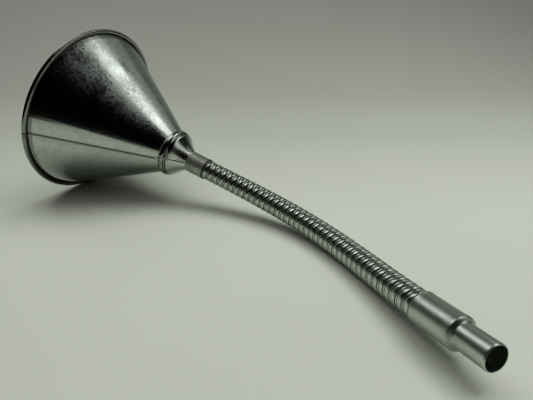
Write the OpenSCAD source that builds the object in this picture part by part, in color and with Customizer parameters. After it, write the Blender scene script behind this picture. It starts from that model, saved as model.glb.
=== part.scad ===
// Sheet metal funnel with a flexible gooseneck spout, lying on its side.
// The bowl's mouth faces -X and its axis leans down towards the spout.
// The spout is a chain of interlocked metal rings that keeps any bend it is given.
// Z = 0 is the surface that the rim's lowest point and the spout rest on.

/* [Bowl and rim] */
// Outside diameter of the mouth, over the rolled rim
mouth_d = 152; // [120:1:200]
// Diameter of the wire that the rim is rolled around
wire_d = 2.6; // [2:0.1:4]
// Thickness of the sheet in the bowl and the neck
sheet_t = 0.5; // [0.4:0.05:0.9]
// Length from the middle of the rolled rim to the neck bead
bowl_len = 91; // [70:1:130]
// Outside diameter of the bowl's small end, at the neck bead
neck_d = 38; // [30:0.5:48]
// How far the bowl's axis leans down from level
bowl_tilt = 18.2; // [15:0.1:22]
// Where the bowl's side seam runs, in degrees below the side of the bowl
seam_at = 3.8; // [0:0.1:60]
// How far the outer sheet stands up at the side seam
seam_step = 0.42; // [0.3:0.02:0.48]
// Width of the joint left open in the rolled rim
rim_joint_w = 0.7; // [0.3:0.1:2]

/* [Neck] */
// How far the bead around the neck stands out from the bowl's small end
bead_stand = 1.7; // [1:0.1:3]
// Length of the neck bead along the bowl's axis
bead_w = 4.4; // [3:0.1:5]
// Radius of the neck bead's rounded face
bead_bulge = 3.2; // [2.8:0.1:6]
// Length of the neck cone, from the start of the bead to the ferrule
neck_len = 19.6; // [14:0.2:30]
// How far the small second bead stands out from the bowl's small end
bead_2_stand = 0.8; // [0.4:0.1:2]
// Where the neck cone's seam runs, in degrees below the side of the bowl
neck_seam_at = 24; // [0:1:60]

/* [Ferrule] */
// Wall thickness of the ferrule that grips the hose
ferrule_t = 0.56; // [0.4:0.02:1]
// Length of the ferrule
ferrule_len = 17.3; // [14:0.1:24]

/* [Gooseneck hose] */
// Outside diameter of the hose
hose_d = 16.9; // [13:0.1:21]
// Length of hose in view, from the ferrule to the nozzle
hose_len = 226; // [180:1:300]
// Wall thickness of the strip in each ring
strip_t = 0.6; // [0.4:0.05:0.7]
// Gap between a ring's lip and the cup it turns in
lip_gap = 0.3; // [0.2:0.02:0.36]
// Most that one joint of the chain turns from straight
joint_turn = 14.8; // [10:0.1:16]
// Sideways direction of the hose, first control angle
side_a = -11.6; // [-30:0.1:30]
// Sideways direction of the hose, second control angle
side_b = -52.6; // [-60:0.1:60]
// Sideways direction of the nozzle
side_c = -44; // [-60:0.1:60]
// Rise of the hose, first control angle
rise_a = -10.5; // [-20:0.1:5]
// Rise of the hose, second control angle
rise_b = 2.9; // [-10:0.1:20]
// Rise of the nozzle above level
rise_c = 6; // [0:0.1:30]

/* [Nozzle] */
// Gap all round between the hose and the nozzle's socket
socket_play = 0.1; // [0.04:0.02:0.3]
// Length of the socket
socket_len = 27.7; // [22:0.1:40]
// Outside diameter of the outlet tube
outlet_d = 14; // [10:0.1:15]
// Length of the outlet tube
outlet_len = 18.2; // [12:0.1:40]
// Wall thickness of the nozzle
nozzle_t = 0.55; // [0.4:0.05:0.6]
// Corner radius of the nozzle's shoulder
shoulder_r = 1.8; // [1:0.1:2]

/* [Hidden] */
$fn = 96;
fit_gap = 0.04;
hinges = 20;

curl_in = wire_d / 2 + fit_gap;
curl_out = curl_in + sheet_t;
mouth_r = mouth_d / 2;
curl_c = mouth_r - curl_out;
neck_r = neck_d / 2;
cone_reach = norm([bowl_len, curl_c - neck_r]);
cone_a = acos(curl_in / cone_reach) - atan2(bowl_len, curl_c - neck_r);
along = [-sin(cone_a), cos(cone_a)];
inward = [-cos(cone_a), -sin(cone_a)];
bowl_run = cone_reach * sin(acos(curl_in / cone_reach));
tuck = 2.6;

bead_c = neck_r + bead_stand - bead_bulge;
bead_z = bowl_len + bead_w / 2;
bead_edge_r = bead_c + sqrt(bead_bulge * bead_bulge - bead_w * bead_w / 4);
bead_2_r = 0.95;
bead_2_c = neck_r + bead_2_stand - bead_2_r;
bead_2_z = bowl_len + bead_w + bead_2_r - 0.2;
neck_z = bead_2_z + 0.5;
neck_top_r = bead_2_c + 0.6;
ferrule_z = bowl_len + neck_len;
hose_r = hose_d / 2;
grip_r = hose_r + fit_gap;
ferrule_r = grip_r + ferrule_t;
spigot_len = 5;
spigot_r = grip_r - fit_gap;

pitch = hose_len / hinges;
cup_r = hose_r - strip_t - 0.05;
lip_r = cup_r - lip_gap;
cup_z = sqrt(cup_r * cup_r - pow(lip_r - 0.15, 2));
cup_a = asin(cup_z / cup_r);
lip_a = cup_a + joint_turn + 1;
lip_end = lip_r * sin(lip_a);
throat_r = lip_r * cos(lip_a);
edge_reach = norm([hose_r, cup_z]);
body_z = edge_reach * sin(atan2(cup_z, hose_r) + joint_turn) + 0.3;
bore_r = throat_r - strip_t;
groove_d = 0.4;
groove_w = 1.8;
groove_z = (body_z + pitch + cup_z) / 2;

socket_r = hose_r + socket_play + nozzle_t;
outlet_r = outlet_d / 2;
nozzle_len = socket_len + outlet_len;
stub_in = 13.4;

function heading(s) = 3 * s * pow(1 - s, 2) * side_a
  + 3 * s * s * (1 - s) * side_b + pow(s, 3) * side_c;
function rise(s) = -pow(1 - s, 3) * bowl_tilt + 3 * s * pow(1 - s, 2) * rise_a
  + 3 * s * s * (1 - s) * rise_b + pow(s, 3) * rise_c;
function aim(s) = [cos(rise(s)) * cos(heading(s)), cos(rise(s)) * sin(heading(s)), sin(rise(s))];
function hinge_at(j) = j == 0
  ? aim(0) * (ferrule_z + ferrule_len + pitch / 2)
  : hinge_at(j - 1) + aim(j / hinges) * pitch;

nozzle_base = hinge_at(hinges - 1) + aim(1) * pitch / 2;
nozzle_tip = nozzle_base + aim(1) * nozzle_len;
low_x = -curl_c * sin(bowl_tilt) - curl_out;
high_x = nozzle_tip[0] + outlet_r * sqrt(1 - pow(aim(1)[0], 2));
low_y = nozzle_tip[1] - outlet_r * sqrt(1 - pow(aim(1)[1], 2));
mid_x = (low_x + high_x) / 2;
mid_y = (low_y + mouth_r) / 2;
low_rim = -curl_c * cos(bowl_tilt) - curl_out;
low_hose = min([for (j = [0:hinges - 1]) hinge_at(j)[2] - hose_r]);
mouth_at = [-mid_x, -mid_y, -min(low_rim, low_hose)];

// Local Z runs down the bowl's axis from the middle of the rim, local X points at the floor.
module on_bowl() {
  translate(mouth_at) rotate([0, 90 + bowl_tilt, 0]) children();
}

// Local Z runs along ring j of the chain from the joint at its upstream end.
module on_link(j) {
  translate(mouth_at + hinge_at(j - 1)) rotate([0, 90 - rise(j / hinges), heading(j / hinges)]) children();
}

module on_nozzle() {
  translate(mouth_at + nozzle_base) rotate([0, 90 - rise(1), heading(1)]) children();
}

// A straight sheet strip from a to b, sheet_t thick on its inner side, as a profile to revolve.
module strip(a, b) {
  side = [-(b[1] - a[1]), b[0] - a[0]] * sheet_t / norm(b - a);
  polygon([a, b, b + side, a + side]);
}

// The outer sheet at a lap seam: a shell moved outwards, kept only on one side of the seam's edge.
module lap(angle, low, high) {
  rotate([0, 0, angle - 90]) intersection() {
    translate([seam_step, 0, 0]) children();
    translate([0, -mouth_r, low]) cube([mouth_r * 1.1, mouth_r, high - low]);
    rotate([0, 0, 10]) translate([0, -mouth_r * 1.5, low]) cube([mouth_r * 1.5, mouth_r * 1.5, high - low]);
  }
}

module bowl_profile(extra) {
  top = [curl_c, 0] + inward * curl_in;
  foot = top + along * (bowl_run + extra);
  strip(top, foot);
}

// The curl around the wire, open on its underside, with the sheet that runs down from it.
module bowl() {
  gap_end = 172 + cone_a;
  color([0.68, 0.69, 0.7]) on_bowl() {
    difference() {
      rotate_extrude() {
        difference() {
          translate([curl_c, 0]) circle(r = curl_out);
          translate([curl_c, 0]) circle(r = curl_in);
          translate([curl_c, 0]) polygon([[0, 0], 4 * [cos(112), sin(112)], 6 * [cos(160), sin(160)],
            4 * [cos(gap_end), sin(gap_end)]]);
        }
        bowl_profile(tuck);
      }
      rotate([0, 0, seam_at - 88]) translate([curl_c - 0.6, -rim_joint_w / 2, -5])
        cube([10, rim_joint_w, 10]);
    }
    lap(seam_at, 4, bowl_len - 1.3) rotate_extrude() bowl_profile(0);
  }
}

module rim_wire() {
  color([0.5, 0.5, 0.5]) on_bowl() rotate_extrude() translate([curl_c, 0]) circle(d = wire_d);
}

// Solder that fills the corner between the bowl and the top of the neck bead.
module neck_solder() {
  low = bowl_len - 1.1;
  bowl_r = neck_r + tan(cone_a) * (bowl_len - low) + 0.03;
  color([0.6, 0.58, 0.54]) on_bowl() rotate_extrude()
    polygon([[bowl_r, low], [bead_edge_r - 0.04, bowl_len - 0.04], [neck_r + 0.06, bowl_len - 0.04]]);
}

// Solid outline of the neck down to the spigot's end, drawn inwards by t.
module neck_outline(t) {
  intersection() {
    translate([bead_c, bead_z]) circle(r = bead_bulge - t);
    translate([0, bowl_len]) square([mouth_r, bead_w]);
  }
  translate([0, bowl_len]) square([bead_edge_r - t, bead_w]);
  translate([bead_2_c, bead_2_z]) circle(r = bead_2_r - t);
  translate([0, bead_2_z - 0.6]) square([bead_2_c, 0.6]);
  polygon([[0, bead_2_z - 0.1], [neck_top_r - t, bead_2_z - 0.1], [neck_top_r - t, neck_z],
    [spigot_r + 0.1 - t, ferrule_z - 0.1], [0, ferrule_z - 0.1]]);
  translate([0, bead_2_z]) square([spigot_r - t, ferrule_z + spigot_len - bead_2_z + t]);
}

module neck_shell() {
  difference() {
    neck_outline(0);
    neck_outline(sheet_t);
    translate([0, bowl_len - 1]) square([bead_edge_r - sheet_t, 1.5]);
  }
}

// The neck cone's wall alone, for its lapped seam.
module neck_wall() {
  polygon([[neck_top_r, neck_z], [spigot_r + 0.1, ferrule_z - 0.1],
    [spigot_r + 0.1 - sheet_t, ferrule_z - 0.1], [neck_top_r - sheet_t, neck_z]]);
}

module neck_cone() {
  color([0.64, 0.65, 0.66]) on_bowl() {
    rotate_extrude() neck_shell();
    lap(neck_seam_at, neck_z + 0.6, ferrule_z - 1) rotate_extrude() neck_wall();
  }
}

// Solder ring where the neck cone enters the ferrule.
module ferrule_solder() {
  color([0.45, 0.44, 0.42]) on_bowl() rotate_extrude()
    polygon([[spigot_r + 0.25, ferrule_z + 0.02], [ferrule_r - 0.1, ferrule_z + 0.02],
      [ferrule_r - 0.25, ferrule_z + 0.5], [ferrule_r - 0.45, ferrule_z + 0.75],
      [spigot_r + 0.05, ferrule_z + 0.75], [spigot_r + 0.05, ferrule_z + 0.1]]);
}

// Plain sleeve with its hose end turned in over the hose's first ring.
module ferrule() {
  color([0.47, 0.47, 0.47]) on_bowl() rotate_extrude() difference() {
    translate([grip_r, ferrule_z + 0.8]) square([ferrule_r - grip_r, ferrule_len - 0.8]);
    for (z = [2.2, ferrule_len - 1.6])
      translate([ferrule_r + 0.25, ferrule_z + z]) circle(r = 0.5);
  }
}

// Points on an arc around the joint at z, from angle a to angle b.
function arc(z, r, a, b, steps) = [for (k = [0:steps])
  let (t = a + (b - a) * k / steps) [r * cos(t), z + r * sin(t)]];

// Band of a ring from z = a, with the cup that holds the next ring's lip around the joint at z = b.
module band(a, b) {
  polygon(concat([[bore_r, a], [hose_r, a], [hose_r, b + cup_z]], arc(b, cup_r, cup_a, 0, 3),
    [[cup_r, a + strip_t], [bore_r, a + strip_t]]));
}

// Inner lip that turns in the cup of the ring before, around the joint at z = 0.
module lip() {
  polygon(concat(arc(0, lip_r, -15, lip_a, 5), [[throat_r, body_z + 0.1], [bore_r, body_z + 0.1]],
    arc(0, lip_r - strip_t, acos(bore_r / (lip_r - strip_t)), -15, 4)));
}

module ring_shape() {
  rotate_extrude() {
    lip();
    difference() {
      band(body_z, pitch);
      translate([hose_r + groove_w / 2 - groove_d, groove_z]) rotate([0, 0, 45])
        square([groove_w * 0.707, groove_w * 0.707], center = true);
    }
  }
}

module hose_root() {
  joint = ferrule_z + ferrule_len + pitch / 2;
  color([0.62, 0.63, 0.63]) on_bowl() rotate_extrude() {
    band(ferrule_z + spigot_len + 0.4, joint);
    translate([hose_r - 0.1, ferrule_z + ferrule_len + 0.1]) square([0.55, 1.5]);
  }
}

module ring_link(j) {
  color([0.7, 0.71, 0.71]) on_link(j) ring_shape();
}

module link_01() { ring_link(1); }
module link_02() { ring_link(2); }
module link_03() { ring_link(3); }
module link_04() { ring_link(4); }
module link_05() { ring_link(5); }
module link_06() { ring_link(6); }
module link_07() { ring_link(7); }
module link_08() { ring_link(8); }
module link_09() { ring_link(9); }
module link_10() { ring_link(10); }
module link_11() { ring_link(11); }
module link_12() { ring_link(12); }
module link_13() { ring_link(13); }
module link_14() { ring_link(14); }
module link_15() { ring_link(15); }
module link_16() { ring_link(16); }
module link_17() { ring_link(17); }
module link_18() { ring_link(18); }
module link_19() { ring_link(19); }

// The hose's last ring, whose plain end is gripped in the nozzle's socket.
module hose_end() {
  color([0.62, 0.63, 0.63]) on_link(hinges) rotate_extrude() {
    lip();
    polygon([[bore_r, body_z], [hose_r, body_z], [hose_r, pitch / 2 + stub_in], [cup_r, pitch / 2 + stub_in],
      [cup_r, body_z + strip_t], [bore_r, body_z + strip_t]]);
  }
}

// Closed outline of the nozzle, drawn inwards by t from its outside.
module nozzle_outline(t) {
  translate([0, -t]) square([socket_r - t, socket_len - shoulder_r + t]);
  translate([0, -t]) square([socket_r - shoulder_r, socket_len]);
  translate([socket_r - shoulder_r, socket_len - shoulder_r]) circle(r = shoulder_r - t);
  translate([0, 1]) square([outlet_r - t, nozzle_len - 1 + t]);
}

module nozzle() {
  color([0.75, 0.75, 0.76]) on_nozzle() rotate_extrude() {
    difference() {
      nozzle_outline(0);
      nozzle_outline(nozzle_t);
      polygon([[outlet_r - 0.3, nozzle_len + 0.01], [outlet_r + 1, nozzle_len + 0.01],
        [outlet_r + 1, nozzle_len - 0.6], [outlet_r, nozzle_len - 0.6]]);
    }
    translate([socket_r - 0.1, 0]) square([0.35, 1.1]);
  }
}

bowl();
rim_wire();
neck_solder();
neck_cone();
ferrule_solder();
ferrule();
hose_root();
link_01();
link_02();
link_03();
link_04();
link_05();
link_06();
link_07();
link_08();
link_09();
link_10();
link_11();
link_12();
link_13();
link_14();
link_15();
link_16();
link_17();
link_18();
link_19();
hose_end();
nozzle();
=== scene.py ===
"""Sheet metal funnel with a bendable interlocked hose, lying on a pale studio sweep."""

import math

import bpy
import numpy as np
from mathutils import Matrix, Vector


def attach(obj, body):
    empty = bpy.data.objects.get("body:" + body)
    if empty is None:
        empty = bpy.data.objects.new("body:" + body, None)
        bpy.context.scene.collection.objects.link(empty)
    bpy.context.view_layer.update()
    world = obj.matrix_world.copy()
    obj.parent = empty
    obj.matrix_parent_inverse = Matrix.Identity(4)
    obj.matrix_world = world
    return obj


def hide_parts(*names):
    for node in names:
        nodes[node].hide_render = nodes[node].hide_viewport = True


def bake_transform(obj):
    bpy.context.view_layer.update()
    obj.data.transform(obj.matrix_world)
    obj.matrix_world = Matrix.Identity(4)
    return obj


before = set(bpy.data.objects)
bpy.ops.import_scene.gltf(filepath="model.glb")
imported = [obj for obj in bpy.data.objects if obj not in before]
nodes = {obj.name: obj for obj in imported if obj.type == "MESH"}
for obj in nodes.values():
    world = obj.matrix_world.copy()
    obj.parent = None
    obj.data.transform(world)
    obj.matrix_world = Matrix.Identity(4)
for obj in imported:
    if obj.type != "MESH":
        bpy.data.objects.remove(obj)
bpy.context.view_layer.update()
scene = bpy.context.scene

# ---------------------------------------------------------------- camera

CAMERA_AT = Vector((0.15784, -0.27300, 0.14711))
LENS_MM = 29.53

camera_data = bpy.data.cameras.new("camera")
camera_data.lens = LENS_MM
camera_data.sensor_width = 36.0
camera_data.clip_start = 0.01
camera_data.dof.use_dof = False
camera = bpy.data.objects.new("camera", camera_data)
scene.collection.objects.link(camera)
look = Vector((-0.39646, 0.84033, -0.36990)).normalized()
right = look.cross(Vector((0, 0, 1))).normalized()
above = right.cross(look)
camera.matrix_world = Matrix(
    (
        (right.x, above.x, -look.x, CAMERA_AT.x),
        (right.y, above.y, -look.y, CAMERA_AT.y),
        (right.z, above.z, -look.z, CAMERA_AT.z),
        (0, 0, 0, 1),
    )
)
scene.camera = camera
scene.view_settings.view_transform = "Standard"

# ---------------------------------------------------------------- sizes as in part.scad

# Lengths are in metres and angles in degrees, except where a comment says otherwise.
BOWL_TILT = 18.2
SIDE = (0.0, -11.6, -52.6, -44.0)
RISE = (-BOWL_TILT, -10.5, 2.9, 6.0)
# Turn of the bowl's seam and of the neck's seam, below the side of the funnel
SEAM_AT = 3.8
NECK_SEAM_AT = -9.0
HINGES = 20
HOSE_LEN = 0.226
PITCH = HOSE_LEN / HINGES
BOWL_LEN = 0.091
FERRULE_START = BOWL_LEN + 0.0196
FERRULE_END = FERRULE_START + 0.0173
MOUTH = Vector((-0.162861, 0.029806, 0.072290))
# From the funnel's axis to its lowest side, at right angles to the axis
DOWN = Vector((-math.sin(math.radians(BOWL_TILT)), 0, -math.cos(math.radians(BOWL_TILT))))
# Radius in mm where the bowl meets the neck, and the bowl's rough slope there
BOWL_END_R = 19.0
BOWL_SLOPE = 30.5
MM = 0.001


def bezier(values, s):
    a, b, c, d = values
    t = 1 - s
    return t**3 * a + 3 * s * t * t * b + 3 * s * s * t * c + s**3 * d


def aim(s):
    """Direction of the hose at the share s of its length."""
    h, e = math.radians(bezier(SIDE, s)), math.radians(bezier(RISE, s))
    return Vector((math.cos(e) * math.cos(h), math.cos(e) * math.sin(h), math.sin(e)))


AIMS = [aim(j / HINGES) for j in range(HINGES + 1)]
HINGE_AT = [MOUTH + AIMS[0] * (FERRULE_END + PITCH / 2)]
for j in range(1, HINGES):
    HINGE_AT.append(HINGE_AT[-1] + AIMS[j] * PITCH)


# ---------------------------------------------------------------- material helpers


def new_material(name):
    material = bpy.data.materials.new(name)
    material.use_nodes = True
    tree = material.node_tree
    tree.nodes.clear()
    out = tree.nodes.new("ShaderNodeOutputMaterial")
    shader = tree.nodes.new("ShaderNodeBsdfPrincipled")
    tree.links.new(shader.outputs[0], out.inputs[0])
    return material, tree, shader


def coords(tree, kind="Object", scale=(1, 1, 1), rotation=(0, 0, 0)):
    source = tree.nodes.new("ShaderNodeTexCoord")
    mapping = tree.nodes.new("ShaderNodeMapping")
    mapping.inputs["Scale"].default_value = scale
    mapping.inputs["Rotation"].default_value = rotation
    tree.links.new(source.outputs[kind], mapping.inputs[0])
    return mapping.outputs[0]


def noise(tree, vector, scale, detail=4.0, rough=0.55, distortion=0.0):
    n = tree.nodes.new("ShaderNodeTexNoise")
    n.inputs["Scale"].default_value = scale
    n.inputs["Detail"].default_value = detail
    n.inputs["Roughness"].default_value = rough
    n.inputs["Distortion"].default_value = distortion
    tree.links.new(vector, n.inputs["Vector"])
    return n.outputs["Fac"]


def cell_colours(tree, vector, scale):
    """Three random values for each cell of a Voronoi pattern."""
    n = tree.nodes.new("ShaderNodeTexVoronoi")
    n.inputs["Scale"].default_value = scale
    tree.links.new(vector, n.inputs["Vector"])
    split = tree.nodes.new("ShaderNodeSeparateColor")
    tree.links.new(n.outputs["Color"], split.inputs[0])
    return split.outputs


def ramp(tree, value, stops):
    n = tree.nodes.new("ShaderNodeValToRGB")
    elements = n.color_ramp.elements
    while len(elements) < len(stops):
        elements.new(0.5)
    for element, (at, colour) in zip(elements, stops):
        element.position = at
        element.color = (*colour, 1)
    tree.links.new(value, n.inputs[0])
    return n.outputs[0]


def grey(at, value):
    """A stop for a ramp that gives one number."""
    return (at, (value, value, value))


def shade(tone, by):
    """The tone made darker or lighter."""
    return tuple(min(1.0, t * by) for t in tone)


def math_node(tree, operation, a, b=None, clamp=False):
    n = tree.nodes.new("ShaderNodeMath")
    n.operation = operation
    n.use_clamp = clamp
    for socket, value in zip(n.inputs, (a, b)):
        if value is None:
            continue
        if isinstance(value, (int, float)):
            socket.default_value = value
        else:
            tree.links.new(value, socket)
    return n.outputs[0]


def times(tree, a, b):
    return math_node(tree, "MULTIPLY", a, b)


def plus(tree, a, b, clamp=False):
    return math_node(tree, "ADD", a, b, clamp)


def mix_colour(tree, factor, a, b):
    n = tree.nodes.new("ShaderNodeMix")
    n.data_type = "RGBA"
    for socket, value in ((n.inputs["Factor"], factor), (n.inputs[6], a), (n.inputs[7], b)):
        if isinstance(value, (int, float)):
            socket.default_value = value
        elif isinstance(value, tuple):
            socket.default_value = (*value, 1)
        else:
            tree.links.new(value, socket)
    return n.outputs[2]


def bump(tree, shader, height, strength, distance, before=None):
    n = tree.nodes.new("ShaderNodeBump")
    n.inputs["Strength"].default_value = strength
    n.inputs["Distance"].default_value = distance
    tree.links.new(height, n.inputs["Height"])
    if before is not None:
        tree.links.new(before, n.inputs["Normal"])
    tree.links.new(n.outputs[0], shader.inputs["Normal"])
    return n.outputs[0]


def sheet_metal(name, tone, rough_low, rough_high, wave=0.0006):
    """Bright zinc-coated sheet: faint spangle, handling marks, slow waves in the surface."""
    material, tree, shader = new_material(name)
    shader.inputs["Metallic"].default_value = 1.0
    place = coords(tree)
    spangle = cell_colours(tree, place, 190)
    cloud = noise(tree, place, 26, 5, 0.6, 0.6)
    fine = noise(tree, place, 240, 4, 0.65)
    long_marks = noise(tree, coords(tree, scale=(1, 7, 7), rotation=(0, 0.3, 0)), 130, 3, 0.6)
    base = ramp(tree, cloud, [(0.28, shade(tone, 0.80)), (0.62, tone)])
    crystals = ramp(tree, spangle[0], [grey(0.0, 0.0), grey(1.0, 0.16)])
    base = mix_colour(tree, crystals, base, shade(tone, 0.72))
    stain = ramp(tree, noise(tree, place, 55, 6, 0.7, 1.2), [grey(0.60, 0.0), grey(0.74, 0.5)])
    base = mix_colour(tree, stain, base, (tone[0] * 0.62, tone[1] * 0.60, tone[2] * 0.55))
    tree.links.new(base, shader.inputs["Base Color"])
    rough = ramp(tree, cloud, [grey(0.30, rough_high), grey(0.66, rough_low)])
    rough = plus(tree, rough, times(tree, spangle[1], 0.05))
    rough = plus(tree, rough, times(tree, stain, 0.18), clamp=True)
    tree.links.new(rough, shader.inputs["Roughness"])
    slow = bump(tree, shader, noise(tree, place, 17, 2, 0.5, 0.3), 0.5, wave)
    small = bump(tree, shader, fine, 0.10, 0.0002, slow)
    bump(tree, shader, long_marks, 0.06, 0.0002, small)
    return material


def dull_metal(name, tone, rough, grain_axis_scale=(1, 1, 1)):
    """Weathered satin metal with fine grain."""
    material, tree, shader = new_material(name)
    shader.inputs["Metallic"].default_value = 0.9
    place = coords(tree)
    cloud = noise(tree, place, 120, 6, 0.65, 0.4)
    lines = noise(tree, coords(tree, scale=grain_axis_scale), 900, 3, 0.6)
    base = ramp(tree, cloud, [(0.30, shade(tone, 0.55)), (0.55, tone), (0.8, shade(tone, 1.25))])
    grain = ramp(tree, lines, [grey(0.35, 0.45), grey(0.65, 0.0)])
    base = mix_colour(tree, grain, base, shade(tone, 0.5))
    tree.links.new(base, shader.inputs["Base Color"])
    roughness = ramp(tree, cloud, [grey(0.25, rough + 0.16), grey(0.75, rough - 0.06)])
    tree.links.new(roughness, shader.inputs["Roughness"])
    bump(tree, shader, plus(tree, lines, times(tree, cloud, 0.6)), 0.35, 0.0003)
    return material


def around_bowl(tree, name):
    """Angle from the side seam in turns, and length along the bowl and distance from its axis in metres.

    The name is a funnel node's, or None for a piece made in the world frame."""
    to_local = nodes[name].matrix_world.inverted() if name else Matrix.Identity(4)
    origin = to_local @ MOUTH
    turn = to_local.to_3x3()
    axis = (turn @ AIMS[0]).normalized()
    seam = Matrix.Rotation(math.radians(SEAM_AT - 90), 3, axis) @ (turn @ DOWN).normalized()
    side = axis.cross(seam)
    source = tree.nodes.new("ShaderNodeTexCoord").outputs["Object"]
    offset = tree.nodes.new("ShaderNodeVectorMath")
    offset.operation = "SUBTRACT"
    offset.inputs[1].default_value = origin
    tree.links.new(source, offset.inputs[0])
    parts = []
    for direction in (seam, side, axis):
        dot = tree.nodes.new("ShaderNodeVectorMath")
        dot.operation = "DOT_PRODUCT"
        dot.inputs[1].default_value = direction
        tree.links.new(offset.outputs[0], dot.inputs[0])
        parts.append(dot.outputs["Value"])
    angle = math_node(tree, "DIVIDE", math_node(tree, "ARCTAN2", parts[1], parts[0]), 2 * math.pi)
    square = plus(tree, times(tree, parts[0], parts[0]), times(tree, parts[1], parts[1]))
    radius = math_node(tree, "SQRT", square)
    return angle, parts[2], radius


def vector(tree, x, y):
    n = tree.nodes.new("ShaderNodeCombineXYZ")
    tree.links.new(x, n.inputs[0])
    tree.links.new(y, n.inputs[1])
    return n.outputs[0]


def band_mask(tree, value, low, high, edge):
    """1 where value lies from low to high, with soft edges."""
    n = tree.nodes.new("ShaderNodeMapRange")
    n.interpolation_type = "SMOOTHSTEP"
    n.inputs["From Min"].default_value = low - edge
    n.inputs["From Max"].default_value = low
    tree.links.new(value, n.inputs["Value"])
    m = tree.nodes.new("ShaderNodeMapRange")
    m.interpolation_type = "SMOOTHSTEP"
    m.inputs["From Min"].default_value = high
    m.inputs["From Max"].default_value = high + edge
    m.inputs["To Min"].default_value = 1.0
    m.inputs["To Max"].default_value = 0.0
    tree.links.new(value, m.inputs["Value"])
    return times(tree, n.outputs["Result"], m.outputs["Result"])


def give(name, material):
    """Puts the material on every slot of a CAD node."""
    node = nodes[name]
    if not node.material_slots:
        node.data.materials.append(material)
    for slot in node.material_slots:
        slot.material = material


def bowl_sheet():
    """Rolled zinc-coated sheet: haze on its upper side, rolling marks, a dark seam, a tinted lap and painted
    shade by the rolled rim.
    """
    material, tree, shader = new_material("bowl_metal")
    shader.inputs["Metallic"].default_value = 1.0
    tone = (0.485, 0.525, 0.492)
    place = coords(tree)
    angle, along, radius = around_bowl(tree, "bowl")
    # distance round the cone from the seam, in metres, positive on the floor side
    off_seam = times(tree, times(tree, angle, 2 * math.pi), radius)
    haze = noise(tree, place, 520, 6, 0.72, 0.1)
    patches = noise(tree, place, 34, 3, 0.55, 0.5)
    flecks = cell_colours(tree, place, 420)
    rolled = noise(tree, vector(tree, times(tree, angle, 60.0), times(tree, along, 6.0)), 1.0, 3, 0.55)

    base = ramp(tree, haze, [(0.30, shade(tone, 0.80)), (0.62, shade(tone, 1.12))])
    base = mix_colour(tree, ramp(tree, flecks[0], [grey(0.0, 0.0), grey(1.0, 0.22)]), base, shade(tone, 0.70))
    stain = ramp(tree, noise(tree, place, 74, 6, 0.72, 0.5), [grey(0.61, 0.0), grey(0.71, 0.55)])
    base = mix_colour(tree, stain, base, (0.23, 0.225, 0.20))
    pits = ramp(tree, noise(tree, place, 700, 3, 0.7), [grey(0.60, 0.0), grey(0.70, 0.7)])
    pitted = times(tree, pits, ramp(tree, patches, [grey(0.45, 0.0), grey(0.60, 1.0)]))
    base = mix_colour(tree, pitted, base, (0.07, 0.07, 0.062))
    lap = band_mask(tree, off_seam, 0.0003, 0.0052, 0.0004)
    tint = times(tree, lap, ramp(tree, noise(tree, place, 90, 4, 0.6), [grey(0.4, 0.15), grey(0.6, 0.6)]))
    base = mix_colour(tree, tint, base, (0.40, 0.385, 0.36))
    # a darker band along the seam
    darker_by_seam = band_mask(tree, off_seam, -0.0010, 0.0014, 0.0009)
    base = mix_colour(tree, times(tree, darker_by_seam, 0.5), base, (0.16, 0.155, 0.14))
    line = band_mask(tree, off_seam, -0.00042, 0.00046, 0.00024)
    base = mix_colour(tree, times(tree, line, 0.96), base, (0.011, 0.011, 0.010))
    # painted shade in the undercut beside the rolled rim
    rim_painted_shade = band_mask(tree, along, -0.004, 0.0034, 0.0012)
    base = mix_colour(tree, times(tree, rim_painted_shade, 0.7), base, (0.13, 0.13, 0.12))
    tree.links.new(base, shader.inputs["Base Color"])

    upper = band_mask(tree, angle, -0.40, -0.17, 0.09)
    mottle = times(tree, ramp(tree, haze, [grey(0.36, 0.25), grey(0.62, 1.0)]),
                   ramp(tree, patches, [grey(0.34, 0.25), grey(0.60, 1.0)]))
    mottle = times(tree, mottle, plus(tree, times(tree, upper, 0.92), 0.08))
    rough = plus(tree, times(tree, mottle, 0.36), 0.11)
    rough = plus(tree, rough, times(tree, flecks[1], 0.035))
    rough = plus(tree, rough, times(tree, stain, 0.16))
    rough = plus(tree, rough, times(tree, line, 0.5), clamp=True)
    tree.links.new(rough, shader.inputs["Roughness"])
    slow = bump(tree, shader, noise(tree, place, 15, 2, 0.5, 0.3), 0.35, 0.0006)
    rolls = bump(tree, shader, rolled, 0.30, 0.0004, slow)
    bump(tree, shader, haze, 0.05, 0.0002, rolls)
    return material


def darken(tree, shader, mask, amount, tone):
    """Mixes a dark tone over the shader's colour where the mask is 1."""
    before = shader.inputs["Base Color"].links[0].from_socket
    tree.links.new(mix_colour(tree, times(tree, mask, amount), before, tone), shader.inputs["Base Color"])


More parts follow.
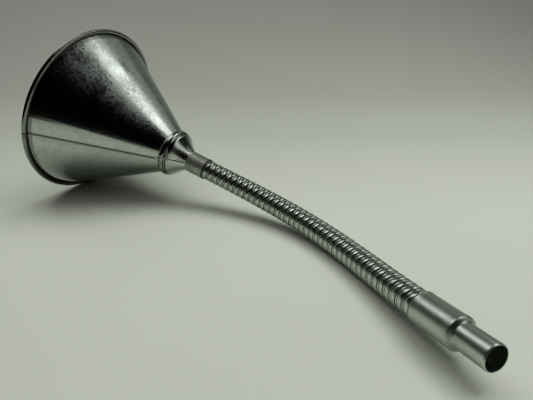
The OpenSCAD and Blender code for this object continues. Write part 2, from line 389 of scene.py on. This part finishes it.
def neck_sheet():
    """The same sheet as the bowl, with the neck's own seam and painted shade in the grooves of its bead."""
    material = sheet_metal("neck_metal", (0.54, 0.575, 0.54), 0.12, 0.26, 0.0003)
    tree = material.node_tree
    shader = tree.nodes["Principled BSDF"]
    angle, along, radius = around_bowl(tree, None)
    from_seam = math_node(tree, "SUBTRACT", angle, (NECK_SEAM_AT - SEAM_AT) / 360)
    off_seam = times(tree, times(tree, from_seam, 2 * math.pi), radius)
    black, dark = (0.015, 0.015, 0.013), (0.03, 0.03, 0.027)
    seam_length = band_mask(tree, along, 0.0970, 0.1110, 0.001)
    floor_side = band_mask(tree, off_seam, 0.00050, 0.00125, 0.00030)
    upper_side = band_mask(tree, off_seam, -0.00085, -0.00060, 0.00020)
    darken(tree, shader, times(tree, floor_side, seam_length), 0.95, black)
    darken(tree, shader, times(tree, upper_side, seam_length), 0.6, (0.05, 0.05, 0.045))
    # painted shade in the creases beside the bead and its ridge, and where the bowl meets the bead
    for low, high, edge in ((0.0952, 0.0957, 0.00022), (0.0969, 0.0976, 0.0005), (0.0903, 0.0914, 0.0004)):
        darken(tree, shader, band_mask(tree, along, low, high, edge), 0.85, dark)
    by_bead = band_mask(tree, along, 0.0895, 0.0985, 0.0015)
    by_seam = band_mask(tree, angle, -0.13, 0.03, 0.02)
    flux = ramp(tree, noise(tree, coords(tree), 420, 4, 0.6, 0.6), [grey(0.47, 0.0), grey(0.56, 1.0)])
    darken(tree, shader, times(tree, times(tree, by_bead, by_seam), flux), 0.85, dark)
    return material


def ferrule_sheet():
    """Satin collar with speckles, dark where it meets the neck and the hose."""
    material = dull_metal("ferrule_metal", (0.50, 0.54, 0.465), 0.42, (0.15, 1, 1))
    tree = material.node_tree
    shader = tree.nodes["Principled BSDF"]
    along = around_bowl(tree, "ferrule")[1]
    specks = ramp(tree, noise(tree, coords(tree), 620, 4, 0.7), [grey(0.60, 0.0), grey(0.68, 1.0)])
    darken(tree, shader, specks, 0.55, (0.14, 0.14, 0.12))
    start_ring = (FERRULE_START - 0.0003, FERRULE_START + 0.0006)
    end_ring = (FERRULE_END - 0.0008, FERRULE_END + 0.0002)
    for low, high in (start_ring, end_ring):
        darken(tree, shader, band_mask(tree, along, low, high, 0.0003), 0.85, (0.04, 0.04, 0.035))
    return material


bowl_metal = bowl_sheet()
neck_metal = neck_sheet()
wire_metal = dull_metal("wire_metal", (0.36, 0.35, 0.33), 0.45)
solder_metal = dull_metal("solder_metal", (0.60, 0.58, 0.53), 0.34)
ferrule_metal = ferrule_sheet()
lip_metal = sheet_metal("lip_metal", (0.30, 0.30, 0.28), 0.26, 0.36, 0.0002)
nozzle_metal = sheet_metal("nozzle_metal", (0.57, 0.615, 0.56), 0.27, 0.44, 0.0002)

give("bowl", bowl_metal)
give("rim_wire", wire_metal)
give("neck_solder", solder_metal)
give("ferrule_solder", solder_metal)
give("ferrule", ferrule_metal)

# ---------------------------------------------------------------- neck and nozzle


def mesh_piece(name, verts, faces, material):
    """Smooth-shaded mesh in the world frame, linked to the scene."""
    mesh = bpy.data.meshes.new(name)
    mesh.from_pydata([tuple(v) for v in verts], [], faces)
    mesh.polygons.foreach_set("use_smooth", [True] * len(mesh.polygons))
    mesh.materials.append(material)
    piece = bpy.data.objects.new(name, mesh)
    scene.collection.objects.link(piece)
    return piece


def strip_faces(rows, columns, start=0):
    """Quads of an open grid of rows by columns, whose first vertex is start."""
    faces = []
    for k in range(rows - 1):
        for m in range(columns - 1):
            a = start + k * columns + m
            faces.append((a, a + 1, a + columns + 1, a + columns))
    return faces


def lathe(name, origin, axis, profile, material, around=128):
    """Closed ring of (length, radius) points in mm turned about the axis."""
    side = axis.cross(Vector((0, 0, 1))).normalized()
    up = side.cross(axis)
    verts, faces = [], []
    for length, radius in profile:
        for m in range(around):
            angle = 2 * math.pi * m / around
            outward = side * math.cos(angle) + up * math.sin(angle)
            verts.append(origin + axis * length * MM + outward * radius * MM)
    rows = len(profile)
    for k in range(rows):
        this_row, next_row = k * around, (k + 1) % rows * around
        for m in range(around):
            n = (m + 1) % around
            faces.append((this_row + m, this_row + n, next_row + n, next_row + m))
    return mesh_piece(name, verts, faces, material)


def arc_points(length, radius, r, first, last, steps):
    """Points on an arc of radius r round (length, radius), angles in degrees from the axis."""
    turn = [math.radians(first + (last - first) * k / steps) for k in range(steps + 1)]
    return [(length + r * math.cos(t), radius + r * math.sin(t)) for t in turn]


def with_wall(outside, wall):
    """The outside profile closed by the same profile moved in by the wall."""
    return outside + [(length, radius - wall) for length, radius in reversed(outside)]


def spline(a, b, c, d, t):
    """Catmull-Rom value at the share t of the way from b to c."""
    return 0.5 * (2 * b + (c - a) * t + (2 * a - 5 * b + 4 * c - d) * t * t + (3 * b - a - 3 * c + d) * t**3)


def curve(points, steps):
    """Smooth curve through the points, with so many steps between each two."""
    ends = [points[0], *points, points[-1]]
    out = []
    for k in range(len(points) - 1):
        for m in range(steps):
            out.append(tuple(spline(*axis_values, m / steps) for axis_values in zip(*ends[k : k + 4])))
    out.append(points[-1])
    return out


# Outside of the neck, (length from the mouth, radius) in mm: a bead, a thin ridge and the neck's own cone
NECK_OUT = (
    [(91.02, 19.6)]
    + arc_points(93.2, 17.5, 3.2, 133, 47, 12)
    + [(95.45, 19.42)]
    + arc_points(96.15, 18.85, 0.95, 140, 40, 8)
    + curve([(97.0, 19.30), (98.4, 18.75), (99.9, 17.35), (101.6, 15.55), (103.6, 13.60), (105.8, 11.75),
             (108.2, 10.05), (110.5, 8.60)], 4)
)
neck_piece = lathe("neck_shell", MOUTH, AIMS[0], with_wall(NECK_OUT, 0.5), neck_metal)
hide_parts("neck_cone")
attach(neck_piece, "funnel")


def neck_radius(length):
    """Outside radius of the neck and the bowl's lower end, in mm."""
    if length < NECK_OUT[0][0]:
        return BOWL_END_R + (BOWL_LEN / MM - length) * math.tan(math.radians(BOWL_SLOPE))
    for (l0, r0), (l1, r1) in zip(NECK_OUT, NECK_OUT[1:]):
        if l0 <= length <= l1:
            return r0 + (r1 - r0) * (length - l0) / (l1 - l0)
    return NECK_OUT[-1][1]


def solder_runs(name, runs, material):
    """Low rounded runs of metal on the neck.

    Each point of a run is (degrees below the side, length, half width, height)."""
    rng = np.random.default_rng(5)
    axis = AIMS[0]
    across, swell, sunk_edge = 9, 1.25, 0.12
    verts, faces = [], []
    for run in runs:
        line = curve([(p[0], p[1]) for p in run], 8)
        shape = curve([(p[2], p[3]) for p in run], 8)
        start = len(verts)
        for k, ((at, length), (wide, high)) in enumerate(zip(line, shape)):
            following, previous = line[min(k + 1, len(line) - 1)], line[max(k - 1, 0)]
            radius = neck_radius(length)
            run_round = math.radians(following[0] - previous[0]) * radius
            run_along = following[1] - previous[1]
            size = math.hypot(run_round, run_along) or 1
            wide = wide * (1 + 0.22 * (rng.random() - 0.5))
            high = high * (1 + 0.30 * (rng.random() - 0.5))
            for m in range(across):
                u = -1 + 2 * m / (across - 1)
                angle = math.radians(at - 90) + u * wide * run_along / size / radius
                here = length - u * wide * run_round / size
                outward = Matrix.Rotation(angle, 3, axis) @ DOWN
                height = swell * high * math.sqrt(max(0.0, 1 - u * u))
                if m in (0, across - 1):
                    height -= sunk_edge
                verts.append(MOUTH + axis * here * MM + outward * (neck_radius(here) + height) * MM)
        faces += strip_faces(len(line), across, start)
    piece = mesh_piece(name, verts, faces, material)
    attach(piece, "funnel")


bright_solder = sheet_metal("bright_solder", (0.70, 0.70, 0.67), 0.18, 0.30, 0.0003)
solder_runs(
    "neck_solder_runs",
    [
        # along the neck's own seam
        [(-8, 96.9, 0.2, 0.1), (-8.4, 98.5, 0.60, 0.50), (-8.8, 102, 0.55, 0.46), (-9.2, 106, 0.50, 0.42),
         (-9.8, 109.6, 0.40, 0.3)],
        # where the bowl's side seam meets the bead
        [(2.5, 86.5, 0.2, 0.1), (3.0, 88.6, 0.8, 0.45), (3.2, 90.4, 1.2, 0.65), (2.0, 92.0, 1.0, 0.55),
         (0, 93.6, 0.3, 0.2)],
        # across the bead, down to the neck's seam
        [(2, 91.2, 0.3, 0.2), (0, 92.8, 0.5, 0.45), (-2.5, 94.6, 0.45, 0.50), (-5, 96.0, 0.5, 0.45),
         (-8, 97.4, 0.35, 0.3)],
        # short runs on the shoulder above the seam
        [(-33, 94.9, 0.2, 0.1), (-28, 96.0, 0.30, 0.26), (-21, 97.6, 0.35, 0.28), (-14, 99.4, 0.25, 0.1)],
        [(-27, 94.7, 0.2, 0.1), (-22, 95.7, 0.25, 0.22), (-16, 96.9, 0.30, 0.24), (-10, 98.0, 0.2, 0.1)],
        [(-14, 99.8, 0.2, 0.05), (-17, 101.5, 0.25, 0.16), (-18, 104, 0.25, 0.14), (-17, 107.5, 0.2, 0.05)],
    ],
    bright_solder,
)

NOZZLE_AT = HINGE_AT[-1] + AIMS[HINGES] * (PITCH / 2)
# Nozzle in mm from the socket's edge: socket, shoulder, outlet tube and its turned-in end
NOZZLE_OUT = (
    [(0.0, 9.08), (0.12, 9.22), (0.55, 9.32), (1.0, 9.22), (1.5, 9.11)]
    + [(4.0, 9.10), (12.0, 9.10), (20.0, 9.10), (23.6, 9.10)]
    + curve([(24.4, 9.13), (25.4, 9.16), (26.15, 8.98), (26.65, 8.52), (26.95, 7.95), (27.25, 7.45),
             (27.7, 7.13), (28.4, 7.03), (29.2, 7.0)], 4)
    + [(34.0, 7.0), (40.0, 7.0), (44.6, 7.0)]
    + curve([(45.0, 6.98), (45.45, 6.86), (45.75, 6.66), (45.9, 6.42)], 3)
)
NOZZLE_IN = [(45.7, 6.30), (45.3, 6.40), (44.6, 6.45), (36.0, 6.45), (28.9, 6.45), (27.2, 7.2), (25.4, 8.3),
             (23.0, 8.55), (0.0, 8.55)]
nozzle_piece = lathe("nozzle_shell", NOZZLE_AT, AIMS[HINGES], NOZZLE_OUT + NOZZLE_IN, nozzle_metal)
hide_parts("nozzle")
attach(nozzle_piece, "nozzle")

# ---------------------------------------------------------------- hose


def hose_strip():
    """Bright strip with drawn marks along it, and dark dirt and painted shade in its grooves."""
    material, tree, shader = new_material("hose_metal")
    shader.inputs["Metallic"].default_value = 1.0
    depth = tree.nodes.new("ShaderNodeAttribute")
    depth.attribute_name = "groove"
    smear = noise(tree, coords(tree, "UV"), 22, 5, 0.62, 0.5)
    drawn = noise(tree, coords(tree, "UV", scale=(1, 26, 1)), 60, 4, 0.6)
    base = ramp(tree, smear, [(0.28, (0.42, 0.46, 0.42)), (0.66, (0.61, 0.66, 0.60))])
    base = mix_colour(tree, ramp(tree, drawn, [grey(0.38, 0.25), grey(0.62, 0.0)]), base, (0.34, 0.33, 0.31))
    # dirt and painted shade in the grooves
    base = mix_colour(tree, depth.outputs["Fac"], base, (0.022, 0.023, 0.020))
    tree.links.new(base, shader.inputs["Base Color"])
    rough = ramp(tree, smear, [grey(0.30, 0.33), grey(0.70, 0.21)])
    rough = plus(tree, rough, times(tree, depth.outputs["Fac"], 0.35), clamp=True)
    tree.links.new(rough, shader.inputs["Roughness"])
    bump(tree, shader, drawn, 0.08, 0.0002)
    return material


hose_metal = hose_strip()

# One turn of the interlocked strip: share of the turn, radius in mm, dirt and painted shade in the groove.
TURN = [
    (0.000, 7.78, 1.00),
    (0.045, 7.80, 0.90),
    (0.080, 8.02, 0.45),
    (0.120, 8.18, 0.10),
    (0.180, 8.24, 0.0),
    (0.240, 8.20, 0.0),
    (0.285, 8.08, 0.30),
    (0.315, 7.95, 0.85),
    (0.340, 7.95, 0.90),
    (0.370, 8.10, 0.40),
    (0.420, 8.29, 0.05),
    (0.500, 8.41, 0.0),
    (0.600, 8.45, 0.0),
    (0.700, 8.44, 0.0),
    (0.790, 8.36, 0.0),
    (0.870, 8.20, 0.05),
    (0.930, 8.00, 0.45),
    (0.970, 7.83, 0.90),
]
AROUND = 72
TURNS_EACH = 2
# Length of strip in one turn for the material's coordinates, where 1 is once round the hose
STRIP_STEP = 0.106


def centre_line(i, t):
    """Point and direction at the share t of hose piece i, from the middle of ring i to that of ring i + 1."""
    a = HINGE_AT[i] - AIMS[i] * PITCH / 2
    b = HINGE_AT[i]
    c = HINGE_AT[i] + AIMS[i + 1] * PITCH / 2
    point = a * (1 - t) ** 2 + b * 2 * t * (1 - t) + c * t * t
    return point, ((b - a) * (1 - t) + (c - b) * t).normalized()


def along_hose(s):
    """Point, sideways and upwards directions at s pieces from the ferrule, straight on past either end."""
    i = min(max(int(math.floor(s)), 0), HINGES - 1)
    t = s - i
    point, forward = centre_line(i, min(max(t, 0), 1))
    point = point + forward * (t - min(max(t, 0), 1)) * PITCH
    side = forward.cross(Vector((0, 0, 1))).normalized()
    return point, side, side.cross(forward)


def hose_piece(i):
    """Two turns of strip. Its ends follow the strip's groove, so the joins between pieces don't show."""
    rows = [(n + u, r, d) for n in range(TURNS_EACH) for u, r, d in TURN]
    rows.append((TURNS_EACH, TURN[0][1], TURN[0][2]))
    verts, groove, uvs = [], [], []
    columns = AROUND + 1
    for turn, radius, dirt_and_shade in rows:
        for m in range(columns):
            share = m / AROUND
            s = i + (turn + share - 0.5) / TURNS_EACH
            s = min(max(s, 0.0), float(HINGES))
            point, side, up = along_hose(s)
            angle = 2 * math.pi * share - math.pi / 2
            verts.append(point + (side * math.cos(angle) + up * math.sin(angle)) * radius * MM)
            groove.append(dirt_and_shade)
            uvs.append((share, (i * TURNS_EACH + turn + share) * STRIP_STEP))
    piece = mesh_piece(f"hose_turns_{i:02d}", verts, strip_faces(len(rows), columns), hose_metal)
    mesh = piece.data
    layer = mesh.uv_layers.new(name="strip")
    for loop in mesh.loops:
        layer.data[loop.index].uv = uvs[loop.vertex_index]
    attribute = mesh.attributes.new("groove", "FLOAT", "POINT")
    attribute.data.foreach_set("value", np.array(groove, np.float32))
    return piece


for i in range(HINGES):
    piece = hose_piece(i)
    names = [f"link_{i + 1:02d}"] if i < HINGES - 1 else ["hose_end"]
    if i == 0:
        names.append("hose_root")
    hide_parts(*names)
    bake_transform(piece)

# The hose's first edge, rolled a little wider where it leaves the ferrule
LIP_OUT = [(0.10, 8.20), (0.20, 8.70)] + arc_points(0.85, 8.28, 0.62, 150, 30, 10) + [(1.60, 8.10)]
LIP_AT = MOUTH + AIMS[0] * FERRULE_END
hose_lip = lathe("hose_lip", LIP_AT, AIMS[0], with_wall(LIP_OUT, 0.3), lip_metal, 96)
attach(hose_lip, "funnel")

# ---------------------------------------------------------------- floor and light

across = Vector((right.x, right.y, 0)).normalized()
away = Vector((look.x, look.y, 0)).normalized()


def paper():
    """Matt studio paper, with painted shade that darkens it towards the back."""
    material, tree, shader = new_material("paper")
    cloud = noise(tree, coords(tree), 3.0, 3, 0.5)
    near = ramp(tree, cloud, [(0.3, (0.575, 0.600, 0.525)), (0.7, (0.595, 0.620, 0.545))])
    distance = tree.nodes.new("ShaderNodeVectorMath")
    distance.operation = "DOT_PRODUCT"
    distance.inputs[1].default_value = away
    tree.links.new(coords(tree), distance.inputs[0])
    # painted shade: the paper darkens further away, where the light falls off
    stops = [grey(0.30, 0.0), grey(0.62, 0.75), grey(1.0, 1.0)]
    far_painted_shade = ramp(tree, plus(tree, distance.outputs["Value"], 0.3), stops)
    tree.links.new(mix_colour(tree, far_painted_shade, near, (0.375, 0.388, 0.348)), shader.inputs["Base Color"])
    shader.inputs["Roughness"].default_value = 0.75
    bump(tree, shader, noise(tree, coords(tree), 900, 3, 0.6), 0.05, 0.0002)
    return material


# The paper: its near edge, where its front part ends, and where its bend starts, away from the camera
NEAR_EDGE, FRONT_END, BEND_START = -2.5, -0.24, 0.55
BEND_R, BEND_STEPS = 1.5, 32
SWEEP_TOP, SWEEP_WIDE = 3.4, 7.0
# The floor lies just under the object's lowest point
FLOOR_DROP = 0.0001


def sweep(name, profile, material, in_reflections=True):
    """One piece of paper, level across, following the profile of (distance, height) away from the camera."""
    columns = 9
    verts = []
    for distance, height in profile:
        for k in range(columns):
            spot = away * distance + across * (k / (columns - 1) - 0.5) * SWEEP_WIDE
            verts.append((spot.x, spot.y, height - FLOOR_DROP))
    obj = mesh_piece(name, verts, strip_faces(len(profile), columns), material)
    obj.visible_glossy = in_reflections


paper_material = paper()
back_outline = [(FRONT_END, 0.0), (0.0, 0.0), (BEND_START, 0.0)]
for k in range(1, BEND_STEPS + 1):
    angle = math.pi / 2 * k / BEND_STEPS
    back_outline.append((BEND_START + BEND_R * math.sin(angle), BEND_R * (1 - math.cos(angle))))
back_outline.append((BEND_START + BEND_R, SWEEP_TOP))
sweep("sweep", back_outline, paper_material)
# The floor's front part is kept out of reflections, which leaves the bowl's dark side dark
front_outline = [(NEAR_EDGE, 0.0), (-1.0, 0.0), (FRONT_END, 0.0)]
sweep("sweep_front", front_outline, paper_material, in_reflections=False)

world = bpy.data.worlds.new("studio")
world.use_nodes = True
world.node_tree.nodes["Background"].inputs[0].default_value = (0.5, 0.52, 0.5, 1)
world.node_tree.nodes["Background"].inputs[1].default_value = 0.10
world.cycles_visibility.glossy = False
scene.world = world

SOFT_WHITE = (0.98, 1.0, 0.965)


def softbox(name, at, width, height, watts, aim_at=None, turn=0, colour=SOFT_WHITE, in_reflections=True):
    """Rectangular light, aimed at a point, or facing straight down and turned by so many degrees."""
    light = bpy.data.lights.new(name, "AREA")
    light.shape = "RECTANGLE"
    light.size, light.size_y = width, height
    light.energy = watts
    light.color = colour
    obj = bpy.data.objects.new(name, light)
    obj.location = at
    if aim_at is None:
        obj.rotation_euler = (0, 0, math.radians(turn))
    else:
        obj.rotation_euler = (Vector(aim_at) - Vector(at)).to_track_quat("-Z", "Y").to_euler()
    obj.visible_glossy = in_reflections
    scene.collection.objects.link(obj)


# Fill light, kept out of reflections
softbox("over", (0.25, 0.40, 1.15), 1.1, 0.9, 8.5, aim_at=(0, 0, 0), in_reflections=False)
softbox("ceiling", (-0.35, -0.25, 1.45), 2.4, 2.4, 5.1, in_reflections=False)
softbox("left", (-0.88, 0.28, 1.15), 0.55, 1.45, 4.6, turn=61)
# Long softbox above the object and a wide dim one beyond it: the band and the fade that the metal shows
softbox("strip", (0.62, 0.46, 1.15), 0.48, 1.0, 3.4, turn=-128, colour=(0.985, 1.0, 0.975))
softbox("fade", (0.477, 1.435, 1.15), 0.9, 1.6, 1.4, turn=-128)
softbox("right", (1.3, 0.1, 0.7), 0.5, 0.9, 1.2, aim_at=(0, 0, 0.05))
